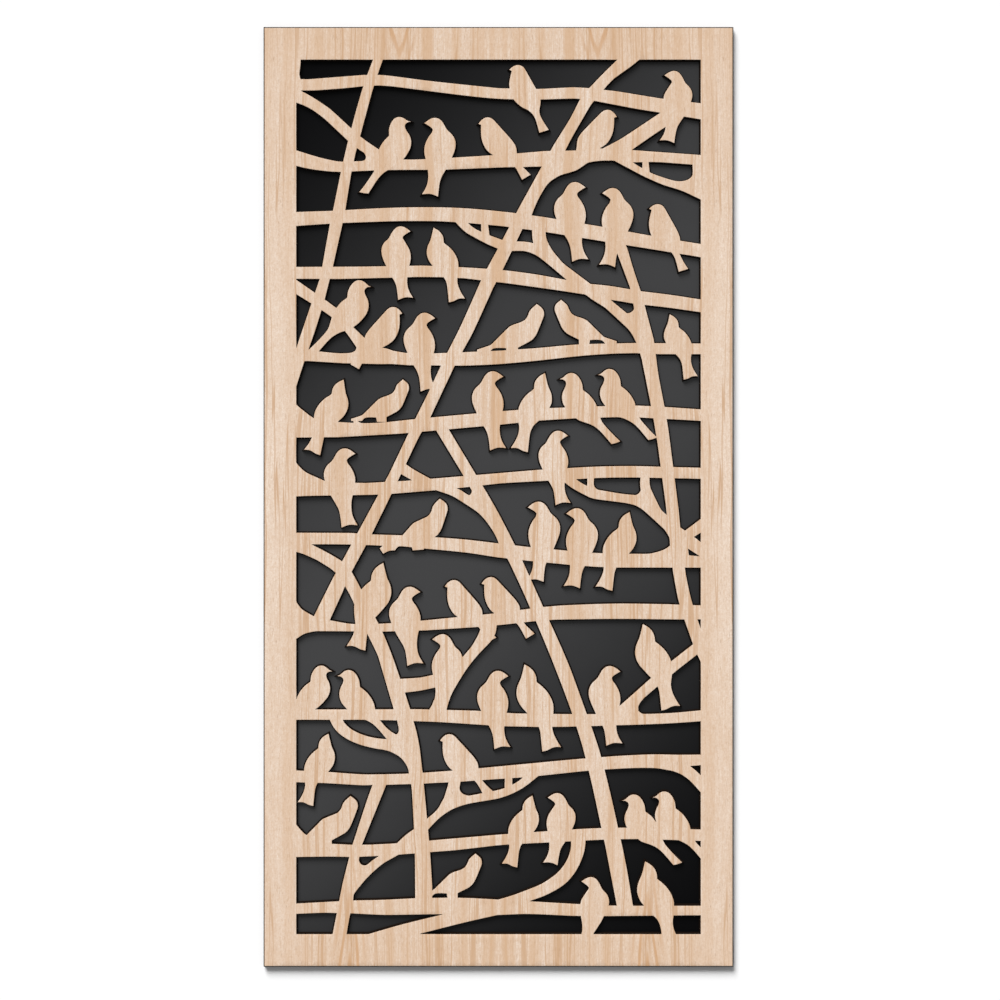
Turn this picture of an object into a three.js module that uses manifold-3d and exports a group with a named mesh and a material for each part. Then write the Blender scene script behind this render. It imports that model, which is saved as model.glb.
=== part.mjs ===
// A laser-cut wooden wall panel: one openwork sheet of songbirds perched on crossing branches,
// cut in one piece with its plain border, on a black board of the same outline.
//
// Millimetres, +Z up. The origin is the centre of the back face, which lies against the wall,
// and the front faces -Y. The design is drawn on the sheet as seen from the front, with x to
// the right and z up from the panel's lower left corner.
import * as THREE from "three";
import { mergeVertices } from "three/addons/utils/BufferGeometryUtils.js";
import Module from "manifold-3d";

const PANEL_WIDTH = 600;
const PANEL_HEIGHT = 2 * PANEL_WIDTH;
const BORDER_WIDTH = 42;
const SHEET_THICKNESS = 6;
const BOARD_THICKNESS = 3;

// How closely the straight runs of an outline follow its curves.
const CURVE_STEP = 4;
const OUTLINE_TOLERANCE = 0.32;

const wasm = await Module();
wasm.setup();

// Outlines. A point is [x, z] in the drawing.

// Drops the points of an open line that lie within the tolerance of the line without them.
function thinned(line) {
  if (line.length < 3) return line;
  const [ax, az] = line[0];
  const [bx, bz] = line[line.length - 1];
  const length = Math.hypot(bx - ax, bz - az) || 1;
  let farthest = 0;
  let at = 0;
  line.forEach(([x, z], i) => {
    const off = Math.abs((bx - ax) * (z - az) - (bz - az) * (x - ax)) / length;
    if (off > farthest) {
      farthest = off;
      at = i;
    }
  });
  if (farthest < OUTLINE_TOLERANCE) return [line[0], line[line.length - 1]];
  return [...thinned(line.slice(0, at + 1)).slice(0, -1), ...thinned(line.slice(at))];
}

// A smooth line through the points, which may carry a third number along with x and z.
function smoothLine(points) {
  const knots = points.map(([x, z, width = 0]) => new THREE.Vector3(x, z, width));
  const curve = new THREE.CatmullRomCurve3(knots, false, "centripetal");
  const steps = Math.max(2, Math.ceil(curve.getLength() / CURVE_STEP));
  return Array.from({ length: steps + 1 }, (_, i) => curve.getPoint(i / steps));
}

// A branch: a stroke along a smooth line through points [x, z, width].
function branch(...points) {
  const line = smoothLine(points);
  const side = (sign) =>
    line.map((p, i) => {
      const before = line[Math.max(0, i - 1)];
      const after = line[Math.min(line.length - 1, i + 1)];
      const dx = after.x - before.x;
      const dz = after.y - before.y;
      const half = (sign * p.z) / 2 / Math.hypot(dx, dz);
      return [p.x - dz * half, p.y + dx * half];
    });
  return [...thinned(side(1)), ...thinned(side(-1)).reverse()];
}

// A web: the rounded filling of a corner, from a point on one side of it to a point on the other.
// A depth of 1 draws the round into the corner, 0 cuts straight across.
function web(corner, from, to, depth = 1) {
  const pull = [0, 1].map((i) => corner[i] * depth + ((from[i] + to[i]) / 2) * (1 - depth));
  const arc = new THREE.QuadraticBezierCurve(
    new THREE.Vector2(...from),
    new THREE.Vector2(...pull),
    new THREE.Vector2(...to),
  );
  const round = [corner, ...arc.getPoints(5).map((p) => [p.x, p.y])];
  return THREE.ShapeUtils.isClockWise(round.map(([x, y]) => ({ x, y }))) ? round.reverse() : round;
}

// Birds. Each pose is an outline of smooth runs that meet at sharp corners. It starts at the tip
// of the bill, which is [0, 0], and goes round clockwise. tail is the middle of the tail's end.

// Seen from behind, head turned to the left, tail hanging straight down.
const WATCHING = {
  tail: [7.5, -92],
  runs: [
    [[0, 0], [6, 4.5], [12, 7], [18, 6.3], [23, 2.5], [27, -4], [31, -10], [36, -14.5], [39.6, -21],
      [40.5, -28], [38.5, -37], [34, -48], [28, -60], [22, -70], [19.3, -82], [18, -94]],
    [[18, -94], [8, -90.5], [-3, -91]],
    [[-3, -91], [3, -80], [5, -70], [4.5, -58], [1.8, -46], [0, -36], [1.5, -26], [6.5, -16], [11, -8.5],
      [8, -5], [0, 0]],
  ],
};

// Bill raised to the sky, back to the right, tail hanging down.
const GAZING = {
  tail: [30.5, -93],
  runs: [
    [[0, 0], [6, -3.5], [10.5, -8], [13, -13.5], [13.8, -19.5]],
    [[13.8, -19.5], [20, -24.5], [26, -31], [30, -38], [32, -44], [32.3, -55], [31, -68], [33.5, -78], [41, -91]],
    [[41, -91], [33, -91.2], [26, -94.5], [20, -96]],
    [[20, -96], [18.5, -84], [17.5, -74], [14, -65], [8, -59], [1, -51.5], [-5, -44], [-8.4, -35], [-8, -26],
      [-4, -16], [-2, -8], [0, 0]],
  ],
};

// Perched side on, facing right, with a round breast and a long tail down to the left.
const PERCHING = {
  tail: [-61, -91],
  runs: [
    [[0, 0], [-5.5, -1.5], [-8.3, -5], [-7, -10], [-2.5, -17], [-0.3, -25], [-1.5, -34], [-5.5, -41.5],
      [-11, -49], [-19, -56.5], [-29, -61.5], [-37, -67], [-44, -75], [-50, -84.5], [-55, -92]],
    [[-55, -92], [-61, -91.5], [-67, -90]],
    [[-67, -90], [-60, -81], [-53, -71], [-47.5, -62], [-45, -52], [-44, -42], [-40.5, -32.5], [-35, -24],
      [-29, -18]],
    [[-29, -18], [-29, -10], [-26.5, -2], [-22, 4], [-15.5, 6.2], [-9, 4.2], [-4, 1], [0, 0]],
  ],
};

// Perched side on, facing left, shoulders high and breast straight, with a short tail.
const RESTING = {
  tail: [45, -79],
  runs: [
    [[0, 0], [5, 4], [11, 6], [17, 4.3], [21.5, -1], [27, -11], [33, -21.5], [38, -31], [40.4, -39],
      [39.5, -48], [39, -55], [42.5, -63.5], [51, -77]],
    [[51, -77], [38.5, -81]],
    [[38.5, -81], [36.5, -73], [34, -65], [30.5, -58], [25.5, -53], [16, -48], [9, -42], [4, -36], [1, -28],
      [0, -20], [1, -11], [3.2, -2]],
    [[3.2, -2], [0, 0]],
  ],
};

// Crouched low along a branch, bill raised, tail out to the right, standing on one short leg.
const CROUCHING = {
  tail: [71, -54.5],
  runs: [
    [[0, 0], [4, -3.5], [8.5, -8], [11, -14], [15, -19], [23, -22.5], [32, -26], [40, -33], [48, -41],
      [55, -47.5], [63, -50.5], [71, -53]],
    [[71, -53], [71, -56.5]],
    [[71, -56.5], [56, -56.5]],
    [[56, -56.5], [52, -52.5], [37, -52]],
    [[37, -52], [36, -58]],
    [[36, -58], [22.5, -58]],
    [[22.5, -58], [22.5, -51.5]],
    [[22.5, -51.5], [16, -48], [8, -44], [2, -38], [-2, -30], [-5, -22], [-8.3, -14], [-7.5, -7], [0, 0]],
  ],
};

const AS_DRAWN = 1;
const MIRRORED = -1;

// A bird in one of the poses, turned and sized so that its bill and tail reach the given points.
function bird(pose, side, [billX, billZ], [tailX, tailZ]) {
  const tail = [side * pose.tail[0], pose.tail[1]];
  const reach = tail[0] ** 2 + tail[1] ** 2;
  const across = tailX - billX;
  const down = tailZ - billZ;
  const cos = (tail[0] * across + tail[1] * down) / reach;
  const sin = (tail[0] * down - tail[1] * across) / reach;
  const placed = ([x, z]) => [
    billX + cos * side * x - sin * z,
    billZ + sin * side * x + cos * z,
  ];
  return pose.runs.flatMap((run) => {
    const line = smoothLine(run.map(placed)).map((p) => [p.x, p.y]);
    return thinned(line).slice(0, -1);
  });
}

// The thirteen limbs that cross the sheet from side to side, from the top down.
const limbs = [
  branch([36, 1126, 15], [60, 1126, 15], [100, 1129, 15.5], [145, 1132, 14], [200, 1126, 13],
    [250, 1120, 14], [300, 1115, 14], [350, 1114, 14], [400, 1115.5, 15], [425, 1113, 16],
    [450, 1109, 18], [500, 1100.5, 18.5], [564, 1091.5, 21]),
  branch([36, 1034, 20], [60, 1027.5, 18], [80, 1023.5, 15.5], [100, 1021.3, 13.5], [150, 1024, 14],
    [200, 1024, 14], [250, 1026, 16], [300, 1028.5, 16.5], [365, 1032, 20], [400, 1034, 17],
    [428, 1037, 16.5], [446, 1036.5, 15], [470, 1035, 16], [500, 1034, 13.5], [564, 1029.5, 13.5]),
  branch([36, 954.5, 18.5], [85, 957, 16.5], [150, 960, 17.5], [200, 961, 18], [245, 960, 18.5],
    [290, 956.5, 19], [340, 950.5, 19], [410, 939.5, 18.5], [465, 930, 18], [500, 924, 17], [564, 913.5, 17]),
  branch([36, 886, 15.5], [100, 886, 16], [150, 887, 15], [200, 888, 15], [250, 886.5, 14.5],
    [305, 881.5, 16.5], [350, 875.5, 16.5], [410, 865.5, 14.5], [440, 861, 17.5], [482, 854, 17.5],
    [520, 849.5, 17], [564, 843, 16.5]),
  branch([36, 781, 15], [60, 780, 14], [100, 777, 13], [128, 778, 16],
    [150, 780, 21.5], [165, 778, 17.5], [182, 776, 16],
    [220, 775.5, 16], [255, 776, 17.5], [300, 778, 17.5], [350, 782, 16.5], [400, 787, 15.5],
    [435, 789, 14], [475, 790, 13.5], [500, 789.3, 14.5], [564, 789, 14]),
  branch([36, 688, 25], [60, 687, 22], [95, 686, 20], [120, 686, 17], [150, 687, 16], [185, 690, 17.5],
    [237, 695, 17.5], [305, 701, 17.5], [350, 705, 16], [400, 707.5, 14.5], [430, 708.5, 15],
    [480, 709, 15.5], [515, 707, 16], [564, 704, 15]),
  branch([36, 613, 26], [58, 611.5, 21], [78, 611, 19.5], [118, 610, 16], [155, 611, 16], [215, 615.5, 15.5],
    [253, 619, 15], [300, 623.5, 13.5], [355, 627.5, 15], [430, 631.5, 15], [480, 632, 15], [564, 630, 14.5]),
  branch([36, 547, 15], [115, 546.5, 15], [140, 545, 14.5], [175, 544, 14.5], [220, 540.5, 16.5],
    [260, 537, 17], [300, 531.5, 18], [370, 524, 18], [433, 519, 18], [490, 518.5, 18], [520, 518.5, 18],
    [564, 516.5, 14]),
  branch([36, 433, 32], [50, 436.5, 24], [66, 437.5, 19], [85, 435.4, 14.2], [115, 433, 9.7], [150, 433, 10.5],
    [200, 435.5, 13], [245, 439, 15], [300, 444, 16], [358, 451, 17.5], [400, 453, 19], [460, 454, 20],
    [530, 453, 19.5], [564, 452.5, 18]),
  branch([36, 322, 13.5], [145, 322, 14], [190, 321.5, 15.5], [233, 320, 16.5], [275, 318, 18],
    [310, 315.5, 17.5], [370, 314.5, 17], [413, 315, 16], [480, 316, 14], [520, 317.5, 13.5], [564, 321, 14.5]),
  branch([36, 243.5, 15.5], [85, 241.5, 15], [120, 239, 14.5], [150, 239, 14], [185, 240, 14],
    [240, 243, 15], [300, 248, 16.5], [350, 252, 17.5], [415, 258.5, 16.5], [470, 262, 17],
    [500, 262.5, 18], [530, 263, 16], [564, 264.5, 13.5]),
  branch([36, 150, 20], [90, 149, 17], [115, 148, 16], [165, 150, 15], [212, 154, 15.5], [250, 157, 15.5],
    [300, 162, 14], [345, 165, 14], [395, 168, 15.5], [455, 170.5, 15], [510, 169.5, 14.5], [564, 168, 15]),
  branch([36, 74, 13.5], [70, 75.5, 13.5], [115, 76.5, 17], [150, 76, 19.5], [190, 77, 21.5],
    [250, 78, 21], [300, 76, 20], [340, 75.5, 16.5], [400, 72.5, 15.5], [440, 71.5, 14], [564, 72, 12.5]),
];

// The five stems that climb across the limbs.
const stems = [
  branch([149, 1166, 12], [146, 1158, 12], [134, 1124, 13.2], [117.5, 1065, 13.6], [107, 1022, 13.5],
    [96.5, 965, 16], [92.5, 948, 16], [81.5, 893, 13.7], [78, 878, 12.7], [70, 850, 15], [53.5, 800, 16],
    [44.5, 773, 15], [34.5, 742, 15], [28, 722, 15]),
  branch([474, 1166, 20], [465, 1158, 19], [443.5, 1140, 15], [428, 1124, 15], [412.5, 1106, 16],
    [397.8, 1080, 14.4], [386, 1060, 15.4], [376, 1042, 17], [350, 995, 17], [331.5, 962, 16.5],
    [308, 915, 17.7], [295, 890, 19], [287, 875, 18.8], [260, 815, 18], [235, 767, 16.4], [215.5, 725, 16.5],
    [203, 700, 16.7], [193.5, 682, 14.5], [163, 619, 14.5], [141, 576, 16.5], [121, 538, 18],
    [102, 503, 17.5], [93, 484, 19.5], [72, 440, 21]),
  branch([223, 694.5, 15], [228, 686, 15], [263.7, 627, 15], [290, 580, 17], [310.7, 540, 17.3],
    [321, 520, 16.5], [349, 458, 15.8], [380, 386, 18], [403.8, 322, 18], [421, 268, 20], [442, 178, 21.3],
    [452.5, 128, 21.5], [462.5, 72, 20.5]),
  branch([450, 935, 14], [458, 914, 14.5], [466, 890, 12.8], [475, 864, 12.3], [479.5, 845, 14.5],
    [484, 820, 18], [488, 797, 22], [491, 783, 19.5], [496.5, 750, 17.5], [506.5, 699, 17], [515, 640, 16],
    [522.5, 580, 16], [530, 509, 15.8], [539.5, 462, 16.5], [546, 443, 16], [557, 411, 16], [567, 388, 16]),
  branch([36, 541, 18], [60, 531.5, 15.5], [80, 521, 15.5], [100, 507, 17], [114.5, 484, 16.5],
    [128, 456, 17], [141.5, 428, 19], [154, 400, 17.6], [164, 370, 19], [176.5, 330, 20.5],
    [187.5, 290, 20], [195, 249, 16.5], [200, 190, 17.5], [203, 145, 20], [204.5, 97, 22.5], [204.5, 76, 22]),
];

// Side shoots, which leave one limb or stem and run into another.
const shoots = [
  branch([36, 1115, 18], [60, 1103.5, 14.5], [80, 1090, 14.5], [100, 1071.5, 14.5], [120, 1053.5, 15],
    [150, 1034, 13]),
  branch([247, 957, 12], [261.5, 942, 11], [275, 934, 10.5], [288, 928, 12], [303, 922, 13]),
  branch([331, 952, 16], [344.5, 984.5, 16], [359, 1006.5, 16], [377, 1018, 16], [396, 1024.5, 17],
    [411, 1033, 15], [430, 1036.5, 15]),
  branch([452, 1034, 13], [470, 1022.5, 9.5], [485, 1014, 8.5], [500, 1007, 8.5], [515, 1001.5, 9.5],
    [530, 997.5, 10.5], [545, 993, 13], [564, 986, 17]),
  branch([520, 1088, 19], [490, 1068, 19], [460, 1048, 20], [437, 1037, 18]),
  branch([34, 873, 16], [62, 854.5, 14], [80, 842.5, 13.5], [95, 831, 13], [111, 812, 12], [124, 797, 16],
    [136, 783, 16]),
  branch([351.4, 947, 17.6], [351.6, 936, 17.6], [353.5, 925, 18], [362, 911, 16], [376, 896, 13]),
  branch([312, 920, 13], [335, 919.5, 12.5], [351.7, 914.4, 14.5], [366.7, 903, 14], [384.4, 888.1, 14],
    [402, 874, 15.5], [425, 857, 15], [440, 846, 12.5], [452, 835.5, 13.5], [465, 824.5, 14.5],
    [475, 814, 15], [486, 796, 18]),
  branch([172, 639.5, 15], [189.5, 628.7, 13.5], [212, 616.5, 13]),
  branch([222, 614, 12], [244, 606, 12], [264, 594, 12.5], [276.5, 585.5, 12.5], [287, 575, 12.5],
    [295, 564, 12.5], [302, 553, 12.5], [306, 542, 12]),
  branch([28, 720, 16], [44, 705.6, 16], [60, 693.7, 16], [76, 685, 16]),
  branch([30, 643, 20], [47, 627, 16], [78, 613, 14]),
  branch([31, 468, 18], [43.5, 452.5, 14], [62, 441, 14]),
  branch([30, 179, 22], [50, 161, 18], [82, 151, 20]),
  branch([90, 322, 16], [97, 308, 15], [108, 298, 14], [125, 290, 13.5], [140, 286, 13.5], [160, 283, 15],
    [170, 279.5, 16.5], [178.7, 275.5, 18], [187.2, 266.4, 18], [192.4, 257, 18], [195, 245, 18]),
  branch([152, 304, 8], [161, 296, 11], [172, 285, 16], [182, 276, 16]),
  branch([527, 540, 14], [545.6, 554.3, 13.6], [564.6, 567.2, 15.6]),
  branch([524, 556, 18], [548.5, 539.7, 16.5], [566, 527, 14.5]),
  branch([530, 556, 14], [534.5, 541, 13], [537, 519, 14]),
  branch([566, 417, 14], [535, 393, 14], [510, 373, 14.5], [490.5, 356, 13.5], [471, 338.5, 14], [452, 319, 18]),
  branch([150, 238, 17], [147, 230, 17], [138.5, 208, 15.5], [128.5, 180, 14], [119.8, 157, 12],
    [116, 140, 13], [111, 115, 16], [105.5, 85, 18], [102, 68, 17.5], [96, 36, 18]),
  branch([106, 92, 14], [122, 112, 13.5], [137.3, 127, 12.6], [152, 138, 11.5], [170, 149, 13], [185, 161, 16],
    [200, 172, 16]),
  branch([203, 176, 12], [213, 186, 11], [224, 196, 10.5], [238, 206, 12], [252, 211, 11],
    [265, 214, 10.5], [280, 216.5, 10.5], [300, 220.5, 11], [316, 226, 10.5], [330, 234, 11], [350, 251, 13]),
  branch([245, 242, 15], [242, 226, 16], [236, 212, 14], [226, 199, 10], [220, 191, 8]),
  branch([500, 260.5, 14], [521, 258, 15.5], [537.5, 252, 15.5], [552, 240.5, 15], [565, 226.5, 15.5]),
  branch([402, 168, 20], [401, 150, 18], [393.5, 130, 17.2], [381, 114, 17.5], [362, 101, 16],
    [337, 90.5, 15], [312, 82, 14.5], [287, 75, 14]),
  branch([118, 28, 18], [170, 43.5, 17.5], [200, 51, 17.5], [230, 58.5, 17], [260, 66, 17], [300, 75, 17]),
  branch([376, 634, 13], [393.5, 619, 12.5], [408, 610, 12], [420, 604.5, 12.5], [440, 601, 12.5],
    [460, 598, 11.5], [478, 595, 14], [492, 587, 16], [505, 575, 16], [518, 563, 16], [527, 548, 16]),
  branch([168, 358, 19], [200, 361, 17], [224, 366, 17]),
  branch([289, 443, 20], [285.5, 426, 20], [270.8, 405, 13.8], [256, 387, 14], [243, 368, 15], [232, 350, 17],
    [224, 330, 20], [222, 318, 20]),
];

// Twigs, the short ties between two neighbouring branches.
const twigs = [
  branch([282, 951, 9], [283.5, 931, 11]),
  branch([487.5, 1031, 8], [488.5, 1011, 10]),
  branch([553, 1032, 11], [553, 988, 11]),
  branch([418, 628, 9], [417, 606, 9]),
  branch([487, 632, 11.5], [487.5, 612, 13], [495, 592, 15], [505, 577, 12]),
  branch([313, 247, 10], [312.5, 223, 10]),
  branch([168, 541.5, 14], [150.3, 530.8, 8.6]),
  branch([115.5, 698.6, 3], [121, 690, 12]),
  branch([268, 601.5, 4], [274, 594, 6]),
  branch([54, 787, 3], [60, 785.5, 4]),
  branch([501, 184, 8], [514, 170, 12]),
  branch([41, 1164, 14], [41, 1158, 13], [42, 1150, 10.5], [42, 1143, 8.5], [42, 1138, 8.5], [41, 1130, 16]),
];

// Rounded webs in the corners of the openings: the corner, then the two points that it is filled to.
const webs = [
  web([147, 1030], [122, 1044.5], [125, 1028], 0.6),
  web([551, 996], [549, 1017], [514, 1004.5], 0.85),
  web([125.5, 783.5], [116.5, 797], [106, 783.5], 0.85),
  web([478, 820], [473.4, 841], [459.5, 835.2], 0.3),
  web([274, 590], [266, 609], [257, 602.5], 0.35),
  web([178, 289], [170.6, 312], [161.5, 299.5], 0.9),
  web([486, 597], [482, 611], [468.5, 601.3], 0.5),
  web([421, 610.5], [422, 618.5], [430, 608.5]),
  web([523, 524], [519.5, 538.5], [479, 526.2], 0.45),
  web([462, 322.5], [494.5, 351.5], [494, 322]),
  web([116.5, 116], [121.5, 139], [133.5, 130.5], 0.42),
  web([243, 212], [250, 229], [266, 218.6], 0.45),
];

const flock = [
  bird(RESTING, AS_DRAWN, [313.5, 1145.5], [358.5, 1066.5]),
  bird(WATCHING, AS_DRAWN, [511.5, 1138], [515, 1053.5]),
  bird(PERCHING, AS_DRAWN, [189, 1079], [128, 988]),
  bird(WATCHING, AS_DRAWN, [205, 1077], [212.5, 985]),
  bird(RESTING, AS_DRAWN, [274, 1076], [336, 1008]),
  bird(RESTING, MIRRORED, [451.5, 1085], [386, 1019]),
  bird(WATCHING, MIRRORED, [411.5, 995], [404.5, 902]),
  bird(WATCHING, AS_DRAWN, [432, 987.5], [438.5, 895]),
  bird(RESTING, AS_DRAWN, [492, 968], [536.5, 889]),
  bird(WATCHING, MIRRORED, [188, 939], [181.5, 853]),
  bird(GAZING, AS_DRAWN, [217, 944], [247, 851]),
  bird(PERCHING, AS_DRAWN, [138.5, 868], [63, 785.5]),
  bird(RESTING, MIRRORED, [177.5, 834], [116, 766]),
  bird(WATCHING, MIRRORED, [219.5, 828], [211, 736]),
  bird(CROUCHING, MIRRORED, [349, 846.5], [272.5, 786.5]),
  bird(CROUCHING, AS_DRAWN, [380, 852], [451, 797.5]),
  bird(GAZING, AS_DRAWN, [518.5, 833.5], [545.5, 752]),
  bird(GAZING, MIRRORED, [102.5, 750], [62, 657]),
  bird(CROUCHING, MIRRORED, [177.8, 750.3], [111.7, 698.4]),
  bird(WATCHING, MIRRORED, [306.5, 753.5], [299.5, 661]),
  bird(GAZING, MIRRORED, [359.5, 758.5], [326.5, 660]),
  bird(PERCHING, MIRRORED, [377, 750], [450, 669]),
  bird(PERCHING, MIRRORED, [426, 755.5], [497, 674]),
  bird(WATCHING, MIRRORED, [117.5, 655], [110, 562.5]),
  bird(WATCHING, MIRRORED, [389, 678], [382.5, 591]),
  bird(CROUCHING, MIRRORED, [225, 598], [151.5, 532.5]),
  bird(WATCHING, AS_DRAWN, [337, 586.5], [347, 493]),
  bird(WATCHING, AS_DRAWN, [386, 578.5], [393.5, 485]),
  bird(GAZING, MIRRORED, [467.5, 581], [434.5, 483]),
  bird(GAZING, MIRRORED, [153, 516], [118, 407]),
  bird(WATCHING, MIRRORED, [200.5, 478.5], [194, 386]),
  bird(RESTING, AS_DRAWN, [231, 485.5], [292, 417]),
  bird(RESTING, AS_DRAWN, [278, 489], [341, 422]),
  bird(WATCHING, AS_DRAWN, [215, 418], [221.5, 327]),
  bird(PERCHING, AS_DRAWN, [88.7, 377.1], [20.7, 301]),
  bird(PERCHING, MIRRORED, [93, 371], [164, 291]),
  bird(WATCHING, MIRRORED, [313, 371], [305, 279.5]),
  bird(GAZING, AS_DRAWN, [333, 386.5], [368, 278]),
  bird(WATCHING, MIRRORED, [456, 377], [448, 284]),
  bird(GAZING, AS_DRAWN, [484, 438], [520, 330.5]),
  bird(GAZING, MIRRORED, [83, 298], [53.5, 208]),
  bird(RESTING, AS_DRAWN, [225, 288.5], [287.5, 221]),
  bird(CROUCHING, MIRRORED, [111, 218.5], [34, 157]),
  bird(GAZING, MIRRORED, [343.5, 219], [314, 129.5]),
  bird(WATCHING, AS_DRAWN, [362.5, 216], [366, 131.5]),
  bird(PERCHING, MIRRORED, [457, 212], [529, 131.5]),
  bird(PERCHING, MIRRORED, [496, 216], [567, 136]),
  bird(CROUCHING, MIRRORED, [270.5, 145], [200, 91]),
  bird(WATCHING, AS_DRAWN, [405.5, 109], [407.5, 24]),
  bird(GAZING, AS_DRAWN, [487, 135], [522, 27]),
];

// Solids.

// A rectangle of the drawing, as an outline.
function rectangle(left, bottom, right, top) {
  return [[left, bottom], [right, bottom], [right, top], [left, top]];
}

// The plate that an outline gives, from depth 0 to the thickness, as a solid for joining.
function plate(outline, thickness, holes = []) {
  const shape = new THREE.Shape(outline.map(([x, z]) => new THREE.Vector2(x, z)));
  shape.holes = holes.map((hole) => new THREE.Path(hole.map(([x, z]) => new THREE.Vector2(x, z))));
  const extruded = new THREE.ExtrudeGeometry(shape, { depth: thickness, bevelEnabled: false });
  extruded.deleteAttribute("normal");
  extruded.deleteAttribute("uv");
  const merged = mergeVertices(extruded, 1e-4);
  return new wasm.Manifold(
    new wasm.Mesh({
      numProp: 3,
      vertProperties: merged.attributes.position.array,
      triVerts: new Uint32Array(merged.index.array),
    }),
  );
}

// Stands a plate up: drawn x stays, drawn z becomes height, and depth runs forward from rear.
function standing(solid, rear) {
  const { numVert, numProp, vertProperties, triVerts } = solid.getMesh();
  const position = new Float32Array(numVert * 3);
  for (let i = 0; i < numVert; i += 1) {
    const [x, z, depth] = vertProperties.subarray(i * numProp, i * numProp + 3);
    position.set([x - PANEL_WIDTH / 2, rear - depth, z - PANEL_HEIGHT / 2], i * 3);
  }
  const geometry = new THREE.BufferGeometry();
  geometry.setAttribute("position", new THREE.BufferAttribute(position, 3));
  geometry.setIndex(new THREE.BufferAttribute(new Uint32Array(triVerts), 1));
  geometry.computeVertexNormals();
  return geometry;
}

function openworkSheet() {
  const outside = rectangle(0, 0, PANEL_WIDTH, PANEL_HEIGHT);
  const opening = rectangle(
    BORDER_WIDTH,
    BORDER_WIDTH,
    PANEL_WIDTH - BORDER_WIDTH,
    PANEL_HEIGHT - BORDER_WIDTH,
  ).reverse();
  const border = plate(outside, SHEET_THICKNESS, [opening]);
  const blank = plate(outside, SHEET_THICKNESS);
  const drawn = [...limbs, ...stems, ...shoots, ...twigs, ...webs, ...flock];
  const picture = wasm.Manifold.union(drawn.map((outline) => plate(outline, SHEET_THICKNESS)));
  return border.add(picture.intersect(blank)).asOriginal().simplify(OUTLINE_TOLERANCE / 4);
}

function backingBoard() {
  return plate(rectangle(0, 0, PANEL_WIDTH, PANEL_HEIGHT), BOARD_THICKNESS);
}

function piece(name, geometry, colour, roughness) {
  const material = new THREE.MeshStandardMaterial({ color: colour, roughness, metalness: 0 });
  const mesh = new THREE.Mesh(geometry, material);
  mesh.name = name;
  return mesh;
}

const panel = new THREE.Group();
panel.add(
  piece("openwork_sheet", standing(openworkSheet(), -BOARD_THICKNESS), 0xe2c4a0, 0.55),
  piece("backing_board", standing(backingBoard(), 0), 0x141414, 0.4),
);

export default panel;
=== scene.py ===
import math

import bpy
import numpy as np
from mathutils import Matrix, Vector, geometry


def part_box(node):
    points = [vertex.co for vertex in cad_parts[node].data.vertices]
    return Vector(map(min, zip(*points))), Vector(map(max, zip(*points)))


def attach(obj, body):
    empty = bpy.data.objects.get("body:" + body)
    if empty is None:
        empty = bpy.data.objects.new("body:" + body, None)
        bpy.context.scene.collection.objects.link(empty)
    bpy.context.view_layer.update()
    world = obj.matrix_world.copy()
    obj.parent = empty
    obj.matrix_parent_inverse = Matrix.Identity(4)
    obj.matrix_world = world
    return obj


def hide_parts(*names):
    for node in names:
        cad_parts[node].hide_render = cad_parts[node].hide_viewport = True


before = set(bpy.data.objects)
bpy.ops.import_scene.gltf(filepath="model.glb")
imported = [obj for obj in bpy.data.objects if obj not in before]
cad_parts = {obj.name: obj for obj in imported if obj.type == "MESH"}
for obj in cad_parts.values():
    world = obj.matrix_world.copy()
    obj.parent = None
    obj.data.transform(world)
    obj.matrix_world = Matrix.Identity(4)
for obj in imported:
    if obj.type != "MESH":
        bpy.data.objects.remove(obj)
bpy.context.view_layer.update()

# Sizes, in metres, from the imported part: X is the width, Z the height, and the front faces -Y.
SHEET_LOW, SHEET_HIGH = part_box("openwork_sheet")
BOARD_LOW, BOARD_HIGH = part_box("backing_board")
PANEL_WIDTH = SHEET_HIGH.x - SHEET_LOW.x
PANEL_HEIGHT = SHEET_HIGH.z - SHEET_LOW.z
SHEET_FRONT = SHEET_LOW.y
SHEET_BACK = SHEET_HIGH.y
SHEET_THICKNESS = SHEET_BACK - SHEET_FRONT
BOARD_FRONT = BOARD_LOW.y
BOARD_BACK = BOARD_HIGH.y

# The cut
SAME_SPOT = 1e-6  # corners of the mesh closer than this are one
CUT_SPACING = 0.00175  # between the points of a curved cut
STRAIGHT_SPACING = 0.02  # and of a straight one
SHARP_TURN = math.radians(42.0)  # a cut that turns more than this at a point has a corner there
LONG_RUN_TURN = math.radians(14.0)  # and so has one that turns this much between two long runs
LONG_RUN = 0.0064
CIRCLE_RUN = 0.014  # runs shorter than this bend as on a circle
CURVE_SWELL = 0.0019  # how strongly a curve may bow away from its chord
LEAST_BEND = 0.004  # radians, below which a run counts as straight
CUT_ROUNDING = 0.0005  # the softened edge of an opening
RIM_ROUNDING = 0.0013  # and of the sheet's outer edge, which is charred all over
BOARD_ROUNDING = 0.0006
ROUNDING_ANGLES = [math.radians(angle) for angle in (0.0, 30.0, 60.0, 90.0)]
KERF_LEAN = 0.0017  # how much the beam's cut leans into an opening from the front to the back
SHARP_EDGE = math.radians(38.0)  # faces that meet at more than this are shaded apart

# The face
SCORCH_REACH = 0.0011  # how far the toasted rim of the face goes in from the cut
FACE_GRID = 0.009  # between the free points inside the face
FACE_CLEARANCE = 0.0022  # from the toasted rim to the first of them
UNCROWDED = 0.8  # share of the rim's width that its inner points keep from every cut
BATCH = 1500  # spots that are measured at a time

# The attribute that tells the outer edge and the edges of openings from the faces, where it is 0
OUTER_TOASTING, CUT_TOASTING = 0.7, 0.3

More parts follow.
